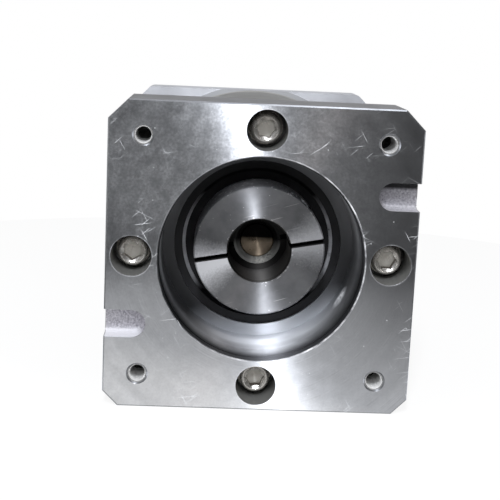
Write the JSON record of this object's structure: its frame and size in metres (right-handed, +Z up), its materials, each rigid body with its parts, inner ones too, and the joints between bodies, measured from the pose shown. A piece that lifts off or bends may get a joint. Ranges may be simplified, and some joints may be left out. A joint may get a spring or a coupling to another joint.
{
  "type": "planetary gear reducer",
  "caption": "Inline planetary gear reducer with a square motor adapter, slit clamp hub in a deep recess, round ring gear housing, square output flange with pilot and keyed output shaft.",
  "frame": {"origin": "centre of the motor mounting face, on the gear axis", "axes": "+Y along the gear axis from the motor towards the output shaft, +Z up, +X to the right as the motor face is seen"},
  "size_m": [0.182, 0.348, 0.182],
  "materials": {
    "machined_aluminium": "fine turned and milled aluminium casting",
    "satin_aluminium": "satin machined aluminium",
    "gear_steel": "oiled case hardened gear steel",
    "turned_steel": "face turned steel",
    "shaft_steel": "ground alloy steel",
    "bearing_steel": "ground bearing steel",
    "screw_steel": "plated steel screws",
    "washer_steel": "plated spring steel",
    "spring_steel": "blued spring steel",
    "bright_seal_metal": "bare pressed steel",
    "brass": "turned bronze",
    "black_rubber": "nitrile rubber"
  },
  "bodies": {
    "housing": {"adapter": "machined_aluminium", "access_plug": "spring_steel", "bearing_carrier": "satin_aluminium", "ring_gear": "gear_steel", "output_housing": "satin_aluminium", "housing_screws": "screw_steel", "housing_washers": "washer_steel", "dowel_pins": "bearing_steel", "adapter_seal_ring": "black_rubber", "carrier_seal_ring": "black_rubber", "housing_seal_ring": "black_rubber", "input_seal": "black_rubber", "input_seal_case": "bright_seal_metal", "input_bearing_outer": "bearing_steel", "input_bore_ring": "spring_steel", "bearing_a_cup": "bearing_steel", "bearing_b_cup": "bearing_steel", "output_bore_ring": "spring_steel", "output_seal": "black_rubber"},
    "input_shaft": {"clamp_hub": "turned_steel", "clamp_screws": "screw_steel", "sun_gear": "gear_steel", "bore_plug": "brass", "input_bearing_inner": "bearing_steel", "input_shaft_ring": "spring_steel"},
    "input_ball_set": {"input_bearing_balls": "bearing_steel", "input_bearing_cage": "brass"},
    "output_shaft": {"carrier_shaft": "shaft_steel", "planet_pin_1": "bearing_steel", "planet_pin_2": "bearing_steel", "planet_pin_3": "bearing_steel", "thrust_washers": "brass", "pin_retainer": "shaft_steel", "retainer_screws": "screw_steel", "bearing_a_cone": "bearing_steel", "bearing_b_cone": "bearing_steel", "bearing_spacer": "shaft_steel", "output_shaft_ring": "spring_steel", "seal_land": "shaft_steel"},
    "roller_set_a": {"bearing_a_rollers": "bearing_steel"},
    "roller_set_b": {"bearing_b_rollers": "bearing_steel"},
    "planet_1": {"planet_gear_1": "gear_steel"},
    "needle_set_1": {"planet_needles_1": "bearing_steel"},
    "planet_2": {"planet_gear_2": "gear_steel"},
    "needle_set_2": {"planet_needles_2": "bearing_steel"},
    "planet_3": {"planet_gear_3": "gear_steel"},
    "needle_set_3": {"planet_needles_3": "bearing_steel"}
  },
  "joints": [
    {"name": "output_spin", "type": "hinge", "parent": "housing", "child": "output_shaft", "pos_m": [0, 0.307, 0], "axis": [0, 1, 0], "continuous": true},
    {"name": "input_spin", "type": "hinge", "parent": "housing", "child": "input_shaft", "pos_m": [0, 0.031, 0], "axis": [0, 1, 0], "continuous": true},
    {"name": "input_balls_orbit", "type": "hinge", "parent": "housing", "child": "input_ball_set", "pos_m": [0, 0.085, 0], "axis": [0, 1, 0], "continuous": true},
    {"name": "rollers_a_orbit", "type": "hinge", "parent": "housing", "child": "roller_set_a", "pos_m": [0, 0.176, 0], "axis": [0, 1, 0], "continuous": true},
    {"name": "rollers_b_orbit", "type": "hinge", "parent": "housing", "child": "roller_set_b", "pos_m": [0, 0.233, 0], "axis": [0, 1, 0], "continuous": true},
    {"name": "planet_1_spin", "type": "hinge", "parent": "output_shaft", "child": "planet_1", "pos_m": [0, 0.132, 0.03938], "axis": [0, 1, 0], "continuous": true},
    {"name": "needles_1_orbit", "type": "hinge", "parent": "output_shaft", "child": "needle_set_1", "pos_m": [0, 0.132, 0.03938], "axis": [0, 1, 0], "continuous": true},
    {"name": "planet_2_spin", "type": "hinge", "parent": "output_shaft", "child": "planet_2", "pos_m": [-0.0341, 0.132, -0.01969], "axis": [0, 1, 0], "continuous": true},
    {"name": "needles_2_orbit", "type": "hinge", "parent": "output_shaft", "child": "needle_set_2", "pos_m": [-0.0341, 0.132, -0.01969], "axis": [0, 1, 0], "continuous": true},
    {"name": "planet_3_spin", "type": "hinge", "parent": "output_shaft", "child": "planet_3", "pos_m": [0.0341, 0.132, -0.01969], "axis": [0, 1, 0], "continuous": true},
    {"name": "needles_3_orbit", "type": "hinge", "parent": "output_shaft", "child": "needle_set_3", "pos_m": [0.0341, 0.132, -0.01969], "axis": [0, 1, 0], "continuous": true}
  ],
  "couplings": [
    {"joint": "input_spin", "follows": "output_spin", "ratio": 5},
    {"joint": "input_balls_orbit", "follows": "output_spin", "ratio": 2.1583},
    {"joint": "rollers_a_orbit", "follows": "output_spin", "ratio": 0.41999},
    {"joint": "rollers_b_orbit", "follows": "output_spin", "ratio": 0.41567},
    {"joint": "planet_1_spin", "follows": "output_spin", "ratio": -2.6667},
    {"joint": "needles_1_orbit", "follows": "output_spin", "ratio": -1.5238},
    {"joint": "planet_2_spin", "follows": "output_spin", "ratio": -2.6667},
    {"joint": "needles_2_orbit", "follows": "output_spin", "ratio": -1.5238},
    {"joint": "planet_3_spin", "follows": "output_spin", "ratio": -2.6667},
    {"joint": "needles_3_orbit", "follows": "output_spin", "ratio": -1.5238}
  ]
}
